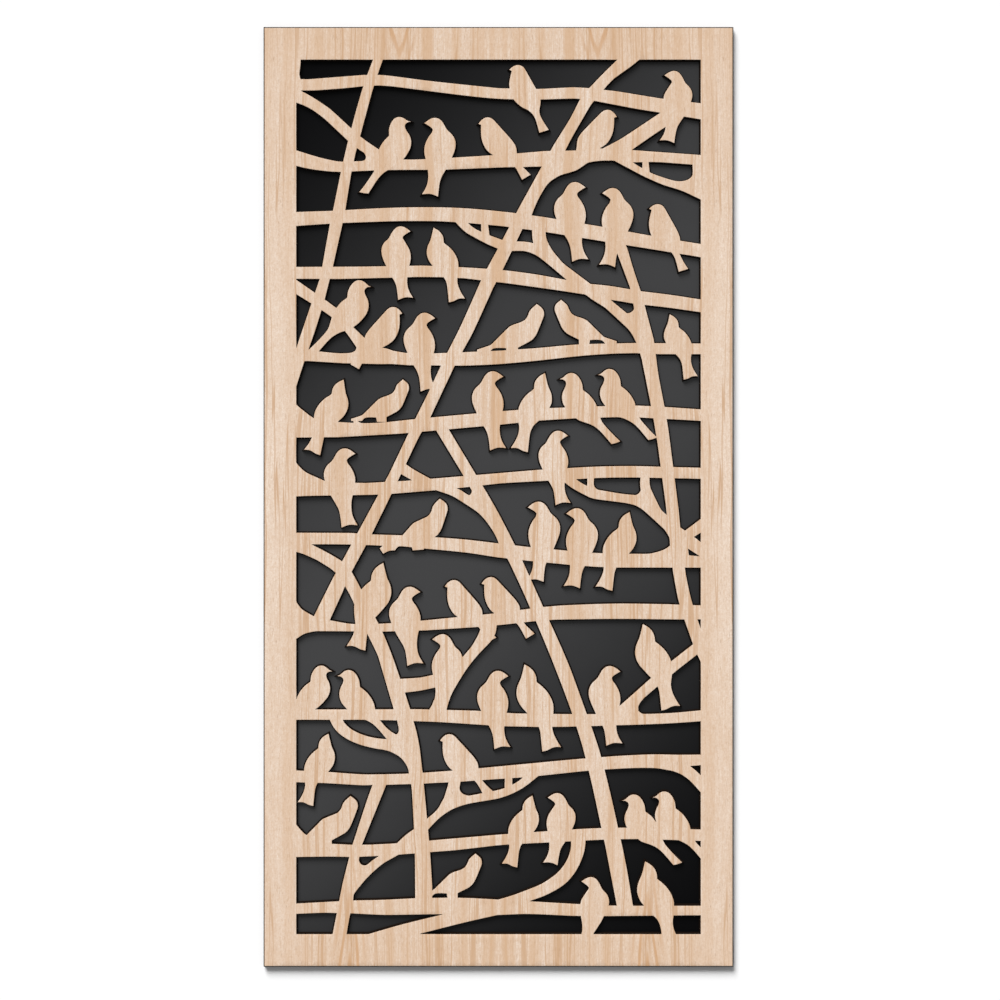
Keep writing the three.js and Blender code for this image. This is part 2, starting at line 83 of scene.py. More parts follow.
# Where the veneer's colour changes over the panel, as distances from its middle
SIDE_START, SIDE_ZONE, SIDE_END = PANEL_WIDTH / 12, PANEL_WIDTH / 3, PANEL_WIDTH / 2
MIDDLE_ZONE, END_FADE, END_ZONE, END = (
    PANEL_HEIGHT / 8,
    PANEL_HEIGHT / 2 - 0.04,
    PANEL_HEIGHT / 2 - 0.08,
    PANEL_HEIGHT / 2,
)

# The veneer's streaks: how many per metre across, through and along the grain, where the noise starts,
# its detail and its roughness.
STREAKS = {
    "bands": ((58.0, 4.0, 0.9), (3.1, 0.0, 0.4), 2.5, 0.55),
    "patches": ((26.0, 3.0, 1.6), (1.0, 0.0, 9.0), 2.0, 0.5),
    "ribs": ((300.0, 20.0, 3.0), (0.0, 1.7, 2.0), 3.0, 0.62),
    "veins": ((46.0, 4.0, 0.8), (6.0, 0.0, 3.0), 3.0, 0.6),
    "fibres": ((850.0, 60.0, 16.0), (0.0, 0.0, 0.0), 3.0, 0.65),
    "pores": ((1500.0, 90.0, 110.0), (5.0, 0.0, 7.0), 1.0, 0.5),
    "ripple": ((640.0, 60.0, 170.0), (2.0, 0.0, 4.0), 3.0, 0.6),
    "strays": ((60.0, 1.0, 9.0), (0.0, 0.0, 0.0), 2.0, 0.5),
}
SWAY = 0.022  # how far the streaks wander sideways, from one side to the other

# Where the arched figure stands: distance of its middle from the middle line, height of the arches' foot,
# rings per metre, how steep they are, half its width, and the heights where it is full and has faded.
TOP, BOTTOM = SHEET_HIGH.z, SHEET_LOW.z
FIGURES = [
    (0.125, TOP - 0.0585, 20.0, 4.3, 0.026, TOP + 0.01, TOP - 0.08),
    (0.192, BOTTOM + 0.17, 12.0, -9.0, 0.024, BOTTOM - 0.02, BOTTOM + 0.22),
]
FIGURE_BLUNTNESS = 0.000007  # square metres: rounds the arches' points
FIGURE_WANDER = 0.9  # of a ring

# The charred edge and the board
PLIES = 3
PLY_WAVER = 0.0006
LIP_FULL, LIP_FADED = 0.0019, 0.003  # depths between which the sooty lip of the edge fades
PAINTED_SHEEN_WIDTH, PAINTED_SHEEN_FALL = 0.237, 2.3  # of the board's painted sheen, a lighter grey painted on a diagonal band in place of a reflection: how wide, and how suddenly it falls off
MESH_TURNS = 2.0 * math.pi / 0.0022  # the mesh pressed into the board's back repeats every 2.2 mm

# Room and light
WALL_FACE = BOARD_BACK + 0.0004  # just behind the board
ROOM_HALF = 6.0
FLOOR_LEVEL = SHEET_LOW.z - 1.0
FLOOR_REACH = 4.5
KEY_STRENGTH, REAR_STRENGTH, FILL_STRENGTH = 4.35, 1.6, 0.25
DARK_STUDIO, LIT_STUDIO = 0.36, 0.5  # what gloss mirrors: behind the camera, and round it

# The photograph shows 1000 pixels across, of which the panel's width takes 470. The panel's middle is 1.5
# pixels left of the picture's middle and 3.1 above it.
FOCAL, SENSOR = 85.0, 36.0
PHOTO_SIDE, PHOTO_PANEL = 1000.0, 470.0
PHOTO_LEFT, PHOTO_UP = 1.5, 3.1
PIXEL = PANEL_WIDTH / PHOTO_PANEL


# Outlines of the cut


def mesh_arrays(node):
    """The node's corner points and its triangles as two arrays."""
    mesh = node.data
    mesh.calc_loop_triangles()
    points = np.empty(len(mesh.vertices) * 3, np.float32)
    mesh.vertices.foreach_get("co", points)
    triangles = np.empty(len(mesh.loop_triangles) * 3, np.int32)
    mesh.loop_triangles.foreach_get("vertices", triangles)
    return points.reshape(-1, 3).astype(float), triangles.reshape(-1, 3)


def face_outlines(node, front):
    """The closed outlines of the flat face at y = front, one after another, with the solid on the left.

    Corners at one spot are merged. A directed edge that no other triangle of the face runs back along is
    part of an outline, and leads from its first point to the next. Doubling the number of steps again and
    again finds the lowest point of each outline, which names it, and each point's distance to that one in
    steps, which puts the points in order. Returned are the points as (x, z) and each point's outline.
    """
    points, triangles = mesh_arrays(node)
    spots, merged = np.unique(np.round(points / SAME_SPOT).astype(np.int64), axis=0, return_inverse=True)
    triangles = merged.reshape(-1)[triangles]
    spots = spots * SAME_SPOT
    flat = (np.abs(spots[triangles][:, :, 1] - front) < 5 * SAME_SPOT).all(axis=1)
    triangles = triangles[flat]
    start = triangles.reshape(-1)
    end = np.roll(triangles, -1, axis=1).reshape(-1)
    count = len(spots)
    rim = ~np.isin(start * count + end, end * count + start)
    start, end = start[rim], end[rim]
    used = np.unique(start)
    follow = np.empty(len(used), int)
    follow[np.searchsorted(used, start)] = np.searchsorted(used, end)
    doublings = int(np.ceil(np.log2(len(used)))) + 1
    name, jump = np.arange(len(used)), follow.copy()
    for _ in range(doublings):
        name = np.minimum(name, name[jump])
        jump = jump[jump]
    own = np.arange(len(used))
    steps = np.where(name == own, 0, 1)
    jump = np.where(name == own, own, follow)
    for _ in range(doublings):
        steps = steps + steps[jump]
        jump = jump[jump]
    order = np.lexsort((-np.where(steps == 0, len(used), steps), name))
    _, outline = np.unique(name[order], return_inverse=True)
    return spots[used[order]][:, [0, 2]], outline


def neighbours(outline):
    """For points in order, outline by outline: the index of the next point and of the one before."""
    index = np.arange(len(outline))
    counts = np.bincount(outline)
    first = np.repeat(np.cumsum(counts) - counts, counts)
    size = np.repeat(counts, counts)
    return first + (index - first + 1) % size, first + (index - first - 1) % size


def headings(points, following):
    """Unit vector and length of the run from each point to the next."""
    run = points[following] - points
    length = np.linalg.norm(run, axis=1)
    return run / length[:, None], length


def signed_turn(a, b):
    """The angle from direction a to direction b, positive to the left."""
    return np.arctan2(a[:, 0] * b[:, 1] - a[:, 1] * b[:, 0], (a * b).sum(axis=1))


def turned(direction, angle):
    """The direction, turned to the left by the angle."""
    c, s = np.cos(angle), np.sin(angle)
    x, z = direction[:, 0], direction[:, 1]
    return np.stack([c * x - s * z, s * x + c * z], axis=1)


def smooth_cut(points, outline):
    """The outline as the beam cut it: corners kept, and the runs between them bent into curves.

    At a point that isn't a corner, the curve's direction divides the turn between the two runs: on short
    runs as on a circle through the three points, and otherwise so that the longer run stays straight. Each
    run becomes a cubic that leaves and arrives in those directions, limited so that it bows by a fraction
    of a millimetre at most, and is given a point every CUT_SPACING where it bends.
    """
    following, before = neighbours(outline)
    along, length = headings(points, following)
    turn = signed_turn(along[before], along)
    short = np.minimum(length[before], length)
    corner = (np.abs(turn) > SHARP_TURN) | (
        (np.abs(turn) > LONG_RUN_TURN) & (short * np.abs(turn) > LONG_RUN)
    )
    a, b = length[before], length
    on_circle = a / (a + b)
    on_long = b**2 / (a**2 + b**2)
    share = np.where(np.maximum(a, b) < CIRCLE_RUN, on_circle, on_long)
    arriving = np.where(corner, 0.0, turn * share)  # left of the run that ends at the point
    leaving = np.where(corner, 0.0, arriving - turn)  # left of the run that starts there
    most = CURVE_SWELL / length
    leave = np.clip(leaving, -most, most)
    arrive = np.clip(arriving[following], -most, most)
    bends = (np.abs(leave) > LEAST_BEND) | (np.abs(arrive) > LEAST_BEND)
    spacing = np.where(bends, CUT_SPACING, STRAIGHT_SPACING)
    pieces = np.ceil(length / spacing).astype(int)
    run = np.repeat(np.arange(len(points)), pieces)
    first = np.repeat(np.cumsum(pieces) - pieces, pieces)
    t = ((np.arange(len(run)) - first) / pieces[run])[:, None]
    out = turned(along, leave) * length[:, None]
    into = turned(along, arrive) * length[:, None]
    start, end = points, points[following]
    cut = (
        start[run] * (2 * t**3 - 3 * t**2 + 1)
        + out[run] * (t**3 - 2 * t**2 + t)
        + end[run] * (3 * t**2 - 2 * t**3)
        + into[run] * (t**3 - t**2)
    )
    return cut, outline[run]


def inset_steps(points, outline):
    """How each point moves to go one unit into the solid: along the halved angle, at most two units."""
    following, before = neighbours(outline)
    along, _ = headings(points, following)
    left = np.stack([-along[:, 1], along[:, 0]], axis=1)
    both = left + left[before]
    size = np.linalg.norm(both, axis=1)[:, None]
    middle = both / np.maximum(size, 1e-6)
    reach = 1.0 / np.maximum(np.abs((middle * left).sum(axis=1)), 0.5)
    return middle * reach[:, None]


def gap_to_cut(spots, points, outline):
    """The distance from each spot to the nearest run of the outlines, worked out in batches."""
    following, _ = neighbours(outline)
    start, run = points, points[following] - points
    square = (run**2).sum(axis=1)
    nearest = np.empty(len(spots))
    for at in range(0, len(spots), BATCH):
        here = spots[at : at + BATCH, None, :] - start[None, :, :]
        t = np.clip((here * run[None]).sum(axis=2) / square[None], 0.0, 1.0)
        off = here - t[..., None] * run[None]
        nearest[at : at + BATCH] = np.sqrt((off**2).sum(axis=2).min(axis=1))
    return nearest


def filled_face(rim, outline, free):
    """Triangles that fill the face on the left of all its outlines, through the rim and free points.

    Returned are the points, with the rim's first and in their order, and the triangles.
    """
    counts = np.bincount(outline)
    starts = np.cumsum(counts) - counts
    loops = [list(range(s, s + n)) for s, n in zip(starts.tolist(), counts.tolist())]
    spots = np.concatenate([rim, free])
    made, _, faces, sources, _, owners = geometry.delaunay_2d_cdt(
        [Vector(p) for p in spots.tolist()], [], loops, 1, 1e-7
    )
    inside = np.array([f for f, owner in zip(faces, owners) if len(owner) == len(loops)], int)
    known = np.array([source[0] if source else -1 for source in sources])
    crossings = np.flatnonzero(known < 0)
    known[crossings] = len(spots) + np.arange(len(crossings))
    new = np.array([tuple(made[c]) for c in crossings.tolist()]).reshape(-1, 2)
    return np.concatenate([spots, new]), known[inside]


def lean_with_room(cut, step, lean, points, outline):
    """The lean at each point of the cut: full beside a wide opening, and less where the opening is narrow.

    The share is the least that three probes into the opening allow. Each compares its distance to the
    nearest cut with how far it was sent, which is less only where another cut is near.
    """
    share = np.ones(len(cut))
    for reach in (0.5 * lean, lean, 2.0 * lean):
        free = gap_to_cut(cut - step * reach, points, outline) / reach
        share = np.minimum(share, np.clip(free, 0.0, 1.0))
    return lean * share


# Solids cut from a plate


def new_piece(name, points, faces, materials, slots, uv, toasting):
    """An object at the origin with these triangles and quads.

    Given are the material number of each face, a UV for each corner and the toasting of each point.
    """
    mesh = bpy.data.meshes.new(name)
    mesh.from_pydata(points, [], faces)
    for material in materials:
        mesh.materials.append(material)
    mesh.polygons.foreach_set("material_index", np.asarray(slots, np.int32))
    layer = mesh.uv_layers.new(name="surface")
    layer.data.foreach_set("uv", np.asarray(uv, np.float32).ravel())
    values = mesh.attributes.new("toasting", "FLOAT", "POINT")
    values.data.foreach_set("value", np.asarray(toasting, np.float32))
    mesh.update()
    mesh.validate()
    piece = bpy.data.objects.new(name, mesh)
    bpy.context.scene.collection.objects.link(piece)
    return piece


def face_spots(cut, step, radius, corners, owner):
    """Free points of the sheet's face, away from the cut.

    There is one inside each point of the cut, where the toasted rim ends, and a square grid over the rest.
    Those that come too close to another cut are left out.
    """
    reach = radius + SCORCH_REACH
    inner = cut + step * reach[:, None]
    inner = inner[gap_to_cut(inner, corners, owner) > UNCROWDED * reach]
    xs = np.arange(SHEET_LOW.x + FACE_GRID, SHEET_HIGH.x, FACE_GRID)
    zs = np.arange(SHEET_LOW.z + FACE_GRID, SHEET_HIGH.z, FACE_GRID)
    grid = np.stack(np.meshgrid(xs, zs), axis=-1).reshape(-1, 2)
    clear = RIM_ROUNDING + SCORCH_REACH + FACE_CLEARANCE
    grid = grid[gap_to_cut(grid, corners, owner) > clear]
    return np.concatenate([inner, grid])


def edge_quads(count, following, strips):
    """Quads between rows of count points each: from each point to the next row, and on to the next point."""
    index = np.arange(count)
    quads = []
    for strip in range(strips):
        here, there = index + strip * count, following + strip * count
        quads.append(np.column_stack([here, here + count, there + count, there]))
    return np.concatenate(quads)


def edge_uv(cut, following, depths):
    """UVs of those quads: the length travelled along the cut, and the depth of each row."""
    _, length = headings(cut, following)
    start = np.cumsum(length) - length
    end = start + length
    strips = [
        np.column_stack([start, near, start, far, end, far[following], end, near[following]])
        for near, far in zip(depths, depths[1:])
    ]
    return np.concatenate(strips).reshape(-1, 2)


def cut_plate(name, node, front, back, rounding, rim_rounding, lean, materials, fine):
    """A plate cut to the node's outlines, with its front edges softened, and closed at the back.

    The edge is made of strips between six rows of points. Four rows lie on a quarter circle from the front
    face to the wall, the fifth ends the wall, which leans into its opening, and the sixth is the back
    face's rim, half a rounding further in. The outline that holds the plate's leftmost point is the outer
    one: it has a rounding of its own and doesn't lean.

    The three materials are those of the front, the edge and the back. The first strip of an opening's edge
    is still of the front's. UVs of faces are x and z in metres, and those of the edge are the length along
    the cut and the depth.
    """
    corners, owner = face_outlines(node, front)
    cut, outline = smooth_cut(corners, owner)
    step = inset_steps(cut, outline)
    following, _ = neighbours(outline)
    count = len(cut)
    outer = outline == outline[np.lexsort((cut[:, 1], cut[:, 0]))[0]]
    radius = np.where(outer, rim_rounding, rounding)

    into = np.zeros(count)
    if lean > 0.0:
        into = np.where(outer, 0.0, -lean_with_room(cut, step, lean, corners, owner))
    rows = [(radius * (1 - math.sin(a)), front + radius * (1 - math.cos(a))) for a in ROUNDING_ANGLES]
    rows += [(into, back - radius * 0.5), (into + radius * 0.5, np.full(count, back))]
    rings = []
    for inset, y in rows:
        moved = cut + step * inset[:, None]
        rings.append(np.column_stack([moved[:, 0], y, moved[:, 1]]))

    nothing = np.empty((0, 2))
    free = face_spots(cut, step, radius, corners, owner) if fine else nothing
    rim = rings[0][:, [0, 2]]
    front_points, front_faces = filled_face(rim, outline, free)
    back_points, back_faces = filled_face(rim, outline, nothing)
    in_front, behind = front_points[count:], back_points[count:]
    in_front = np.column_stack([in_front[:, 0], np.full(len(in_front), front), in_front[:, 1]])
    behind = np.column_stack([behind[:, 0], np.full(len(behind), back), behind[:, 1]])
    points = np.concatenate(rings + [in_front, behind])

    # The fillings count their own points: these become the whole plate's.
    ringed = len(rows) * count
    last_ring = ringed - count
    beyond = ringed + len(in_front) - count
    front_faces = np.where(front_faces < count, front_faces, front_faces - count + ringed)
    back_faces = np.where(back_faces < count, back_faces + last_ring, back_faces + beyond)[:, ::-1]

    toasting = np.zeros(len(points))
    toasting[:ringed] = np.tile(np.where(outer, OUTER_TOASTING, CUT_TOASTING), len(rows))
    quads = edge_quads(count, following, len(rows) - 1)
    thickness = np.full(count, back - front)
    depths = [radius * a for a in ROUNDING_ANGLES] + [thickness, radius + thickness]
    uv = np.concatenate(
        [
            edge_uv(cut, following, depths),
            points[front_faces.reshape(-1)][:, [0, 2]],
            points[back_faces.reshape(-1)][:, [0, 2]],
        ]
    )
    edge_slots = np.ones((len(rows) - 1, count))
    edge_slots[0, ~outer] = 0.0
    slots = np.concatenate([edge_slots.ravel(), np.zeros(len(front_faces)), np.full(len(back_faces), 2)])
    faces = quads.tolist() + front_faces.tolist() + back_faces.tolist()
    piece = new_piece(name, points.tolist(), faces, materials, slots, uv, toasting)
    smooth = np.zeros(len(faces), bool)
    smooth[: len(quads)] = True
    piece.data.polygons.foreach_set("use_smooth", smooth)
    piece.data.set_sharp_from_angle(angle=SHARP_EDGE)
    return piece


# Material tools


class Mixer:
    """Adds nodes to one tree and joins them, so that a finish reads as a list of steps."""

    def __init__(self, tree):
        self.tree = tree

    def node(self, kind, **settings):
        made = self.tree.nodes.new(kind)
        for name, value in settings.items():
            setattr(made, name, value)
        return made

    def set(self, socket, value):
        if isinstance(value, bpy.types.NodeSocket):
            self.tree.links.new(value, socket)
        else:
            socket.default_value = value

    def math(self, operation, a, b=0.0, clamp=False):
        made = self.node("ShaderNodeMath", operation=operation, use_clamp=clamp)
        self.set(made.inputs[0], a)
        self.set(made.inputs[1], b)
        return made.outputs[0]

    def stretch(self, vector, scale, offset=(0.0, 0.0, 0.0)):
        made = self.node("ShaderNodeMapping")
        self.set(made.inputs["Vector"], vector)
        made.inputs["Scale"].default_value = scale
        made.inputs["Location"].default_value = offset
        return made.outputs[0]

    def noise(self, vector, scale=1.0, detail=2.0, roughness=0.5):
        made = self.node("ShaderNodeTexNoise", noise_dimensions="3D")
        self.set(made.inputs["Vector"], vector)
        self.set(made.inputs["Scale"], scale)
        self.set(made.inputs["Detail"], detail)
        self.set(made.inputs["Roughness"], roughness)
        return made.outputs[0]

    def ramp(self, value, low, high, out_low=0.0, out_high=1.0, kind="SMOOTHSTEP"):
        made = self.node("ShaderNodeMapRange", interpolation_type=kind)
        self.set(made.inputs["Value"], value)
        made.inputs["From Min"].default_value = low
        made.inputs["From Max"].default_value = high
        made.inputs["To Min"].default_value = out_low
        made.inputs["To Max"].default_value = out_high
        return made.outputs[0]

    def blend(self, factor, a, b):
        made = self.node("ShaderNodeMix", data_type="RGBA")
        self.set(made.inputs[0], factor)
        self.set(made.inputs[6], a)
        self.set(made.inputs[7], b)
        return made.outputs[2]

    def split(self, vector):
        made = self.node("ShaderNodeSeparateXYZ")
        self.set(made.inputs[0], vector)
        return made.outputs

    def join(self, x, y, z):
        made = self.node("ShaderNodeCombineXYZ")
        for socket, value in zip(made.inputs, (x, y, z)):
            self.set(socket, value)
        return made.outputs[0]

    def product(self, *values):
        made = values[0]
        for value in values[1:]:
            made = self.math("MULTIPLY", made, value)
        return made

    def bump(self, height, distance, strength):
        made = self.node("ShaderNodeBump")
        self.set(made.inputs["Height"], height)
        made.inputs["Distance"].default_value = distance
        made.inputs["Strength"].default_value = strength
        return made.outputs[0]


def tone(red, green, blue):
    """A colour as it is seen on screen, 0 to 255, turned into the linear values that a socket takes."""
    seen = np.array([red, green, blue]) / 255.0
    linear = np.where(seen <= 0.04045, seen / 12.92, ((seen + 0.055) / 1.055) ** 2.4)
    return (*linear.tolist(), 1.0)


def new_group(name, inputs, outputs):
    """An empty node group with these named sockets, and its mixer."""
    tree = bpy.data.node_groups.new(name, "ShaderNodeTree")
    for label, kind, value in inputs:
        socket = tree.interface.new_socket(label, in_out="INPUT", socket_type=kind)
        if value is not None:
            socket.default_value = value
    for label, kind in outputs:
        tree.interface.new_socket(label, in_out="OUTPUT", socket_type=kind)
    mix = Mixer(tree)
    return tree, mix, mix.node("NodeGroupInput").outputs, mix.node("NodeGroupOutput").inputs


def use_group(mix, tree, **values):
    """The group placed in a material, with values or links for its inputs."""
    made = mix.node("ShaderNodeGroup", node_tree=tree)
    for label, value in values.items():
        mix.set(made.inputs[label.replace("_", " ")], value)
    return made.outputs


def new_material(name, roughness, specular):
    """A material with a Principled shader, its mixer and that shader's inputs."""
    material = bpy.data.materials.new(name)
    material.use_nodes = True
    shader = material.node_tree.nodes["Principled BSDF"].inputs
    shader["Roughness"].default_value = roughness
    shader["Specular IOR Level"].default_value = specular
    return material, Mixer(material.node_tree), shader


FLOAT, VECTOR = "NodeSocketFloat", "NodeSocketVector"


def fine_grit_group():
    """Grit and mottle that every finish carries: a fine and a coarse noise, evenly in all directions."""
    tree, mix, given, out = new_group(
        "fine_grit",
        [("Vector", VECTOR, None), ("Fine Scale", FLOAT, 900.0), ("Coarse Scale", FLOAT, 40.0)],
        [("Fine", FLOAT), ("Coarse", FLOAT)],
    )
    mix.set(out["Fine"], mix.noise(given["Vector"], given["Fine Scale"], 2.0, 0.6))
    mix.set(out["Coarse"], mix.noise(given["Vector"], given["Coarse Scale"], 3.0, 0.55))
    return tree


def veneer_grain_group():
    """Upright grain of a veneer laid as two mirrored leaves.

    The distance from the middle line takes the place of x, pushed sideways a few millimetres by a slow
    noise, so that streaks wander alike on both leaves. Bands, ribs and fibres are noises drawn out along z,
    the finer ones stronger in some places than in others. Lines are where a drawn-out noise passes its
    middle value. The figure is a set of nested points: rings of z less a steep share of the distance from
    a middle line, near two places.
    """
    tree, mix, given, out = new_group(
        "veneer_grain",
        [("Vector", VECTOR, None)],
        [(label, FLOAT) for label in ("Bands", "Ribs", "Lines", "Fibres", "Pores", "Ripple", "Figure")],
    )
    x, y, z = mix.split(given["Vector"])
    leaf = mix.math("ABSOLUTE", x)
    low = mix.noise(mix.join(mix.math("MULTIPLY", leaf, 9.0), 0.0, mix.math("MULTIPLY", z, 3.2)))
    push = mix.math("MULTIPLY", mix.math("SUBTRACT", low, 0.5), SWAY)
    bent = mix.math("ADD", leaf, push)
    course = mix.join(bent, y, z)

    def streaks(kind):
        """The noise of this kind, drawn out along the grain."""
        per_metre, start, detail, roughness = STREAKS[kind]
        return mix.noise(mix.stretch(course, per_metre, start), 1.0, detail, roughness)

    patch = streaks("patches")
    lively = mix.ramp(patch, 0.35, 0.65, 0.25, 1.0)
    off_middle = mix.math("ABSOLUTE", mix.math("SUBTRACT", streaks("veins"), 0.5))
    line = mix.ramp(off_middle, 0.003, 0.022, 1.0, 0.0)
    fibre = mix.ramp(streaks("fibres"), 0.22, 0.78, kind="LINEAR")
    mix.set(out["Bands"], mix.ramp(streaks("bands"), 0.3, 0.7))
    mix.set(out["Ribs"], mix.product(mix.ramp(streaks("ribs"), 0.3, 0.7), lively))
    mix.set(out["Lines"], mix.product(line, mix.ramp(patch, 0.34, 0.54, 0.15, 1.0)))
    mix.set(out["Fibres"], mix.product(fibre, mix.ramp(patch, 0.3, 0.7, 1.0, 0.55)))
    mix.set(out["Pores"], mix.ramp(streaks("pores"), 0.64, 0.78))
    mix.set(out["Ripple"], mix.ramp(streaks("ripple"), 0.25, 0.75, kind="LINEAR"))

    stray = mix.math("SUBTRACT", streaks("strays"), 0.5)
    wander = mix.math("MULTIPLY", stray, FIGURE_WANDER)
    figure = 0.0
    for centre, foot, rings_per_metre, steepness, half_width, full, faded in FIGURES:
        side = mix.math("SUBTRACT", bent, centre)
        blunt = mix.math("SQRT", mix.math("ADD", mix.product(side, side), FIGURE_BLUNTNESS))
        arch = mix.math("ADD", mix.math("MULTIPLY", blunt, steepness), foot)
        rise = mix.math("MULTIPLY", mix.math("SUBTRACT", z, arch), rings_per_metre)
        rings = mix.math("SINE", mix.math("MULTIPLY", mix.math("ADD", rise, wander), 2.0 * math.pi))
        near_side = mix.ramp(mix.math("ABSOLUTE", side), half_width * 0.35, half_width, 1.0, 0.0)
        if full > faded:
            near_end = mix.ramp(z, faded, full, 0.0, 1.0)
        else:
            near_end = mix.ramp(z, full, faded, 1.0, 0.0)
        here = mix.product(near_side, near_end, mix.ramp(rings, 0.0, 1.0))
        figure = mix.math("ADD", figure, here, clamp=True)
    mix.set(out["Figure"], figure)
    return tree


GRIT = fine_grit_group()
GRAIN = veneer_grain_group()


def veneer_material():
    """Pale veneer: cream ground, tan bands and ribs, fine fibres and pores, toasted beside the cut.

    The ground is cooler towards the long sides, paler half way up them, and warmer at the two ends.
    """
    material, mix, shader = new_material("pale_veneer", 0.58, 0.35)
    place = mix.node("ShaderNodeTexCoord").outputs["Object"]
    grain = use_group(mix, GRAIN, Vector=place)
    grit = use_group(mix, GRIT, Vector=place, Fine_Scale=620.0, Coarse_Scale=14.0)
    side = mix.math("ABSOLUTE", mix.split(place)[0])
    high = mix.math("ABSOLUTE", mix.split(place)[2])
    outward = mix.ramp(side, SIDE_START, SIDE_END, 0.0, 0.62)
    at_side = mix.ramp(side, SIDE_ZONE, SIDE_END, 0.0, 0.7)
    half_way = mix.ramp(high, MIDDLE_ZONE, END_FADE, 1.0, 0.0)
    at_end = mix.ramp(high, END_ZONE, END, 0.0, 0.12)
    calm = mix.ramp(side, SIDE_ZONE, SIDE_END, 1.0, 0.72)  # fine grain is fainter at the sides

    ground = mix.blend(grain["Bands"], tone(254, 249, 243), tone(217, 180, 146))
    layers = [
        (grain["Ribs"], (250, 240, 229)),
        (outward, (238, 219, 202)),
        (mix.product(at_side, half_way), (250, 238, 226)),
        (at_end, (214, 172, 130)),
        (mix.ramp(grit["Coarse"], 0.3, 0.7, 0.0, 0.25), (226, 203, 182)),
        (mix.math("MULTIPLY", grain["Figure"], 0.95), (203, 152, 104)),
        (mix.math("MULTIPLY", grain["Lines"], 0.8), (197, 157, 121)),
        (mix.product(grain["Ripple"], 0.6, calm), (205, 167, 131)),
        (mix.product(grain["Fibres"], 0.72, calm), (203, 166, 130)),
        (mix.ramp(grit["Fine"], 0.34, 0.7, 0.0, 0.38), (207, 172, 139)),
        (mix.math("MULTIPLY", grain["Pores"], 0.6), (164, 126, 92)),
    ]
    for strength, colour in layers:
        ground = mix.blend(strength, ground, tone(*colour))

    toasting = mix.node("ShaderNodeAttribute", attribute_name="toasting").outputs["Fac"]
    uneven = mix.product(mix.ramp(grit["Fine"], 0.2, 0.8, 0.6, 1.0), toasting)
    rim = mix.math("MULTIPLY", mix.math("POWER", uneven, 3.0), 0.6)
    mix.set(shader["Base Color"], mix.blend(rim, ground, tone(128, 90, 60)))
    rough = mix.math("ADD", mix.math("MULTIPLY", grain["Fibres"], 0.14), 0.5)
    mix.set(shader["Roughness"], mix.math("SUBTRACT", rough, mix.math("MULTIPLY", grain["Bands"], 0.05)))
    relief = mix.math("SUBTRACT", grain["Fibres"], mix.math("MULTIPLY", grain["Pores"], 1.5))
    relief = mix.math("ADD", relief, mix.math("MULTIPLY", grain["Ribs"], 0.6))
    mix.set(shader["Normal"], mix.bump(relief, 0.00006, 0.6))
    return material


def charred_edge_material():
    """The beam-cut wall: plies in two browns, scored across by the beam, sooty in places.

    The sheet's outer edge is a lighter brown than the edges of openings.
    """
    material, mix, shader = new_material("charred_edge", 0.72, 0.15)
    uv = mix.node("ShaderNodeUVMap", uv_map="surface").outputs["UV"]
    place = mix.node("ShaderNodeTexCoord").outputs["Object"]
    toasting = mix.node("ShaderNodeAttribute", attribute_name="toasting").outputs["Fac"]
    grit = use_group(mix, GRIT, Vector=place, Fine_Scale=1500.0, Coarse_Scale=160.0)
    run, depth, _ = mix.split(uv)
    waver = mix.math("MULTIPLY", mix.math("SUBTRACT", grit["Coarse"], 0.5), PLY_WAVER)
    ply = mix.math("MULTIPLY", mix.math("ADD", depth, waver), 2.0 * math.pi * PLIES / SHEET_THICKNESS)
    band = mix.ramp(mix.math("SINE", ply), -0.25, 0.25)
    score = mix.noise(mix.join(mix.math("MULTIPLY", run, 2600.0), mix.math("MULTIPLY", depth, 60.0), 0.0))
    outer = mix.ramp(toasting, 0.4, 0.6)
    ply_a = mix.blend(outer, tone(32, 21, 14), tone(104, 70, 44))
    ply_b = mix.blend(outer, tone(22, 15, 10), tone(70, 45, 29))
    burnt = mix.blend(outer, tone(15, 11, 9), tone(52, 34, 23))
    ground = mix.blend(band, ply_a, ply_b)
    ground = mix.blend(mix.ramp(score, 0.35, 0.65, 0.0, 0.45), ground, burnt)
    soot = mix.product(mix.ramp(grit["Coarse"], 0.5, 0.72, 0.0, 0.6), mix.ramp(outer, 0.0, 1.0, 1.0, 0.6))
    ground = mix.blend(soot, ground, tone(17, 13, 11))
    lip = mix.ramp(depth, LIP_FULL, LIP_FADED, 0.92, 0.0)
    mix.set(shader["Base Color"], mix.blend(lip, ground, tone(24, 16, 10)))
    mix.set(shader["Roughness"], mix.ramp(grit["Fine"], 0.2, 0.8, 0.6, 0.82))
    mix.set(shader["Normal"], mix.bump(mix.math("ADD", score, band), 0.00008, 0.7))
    return material


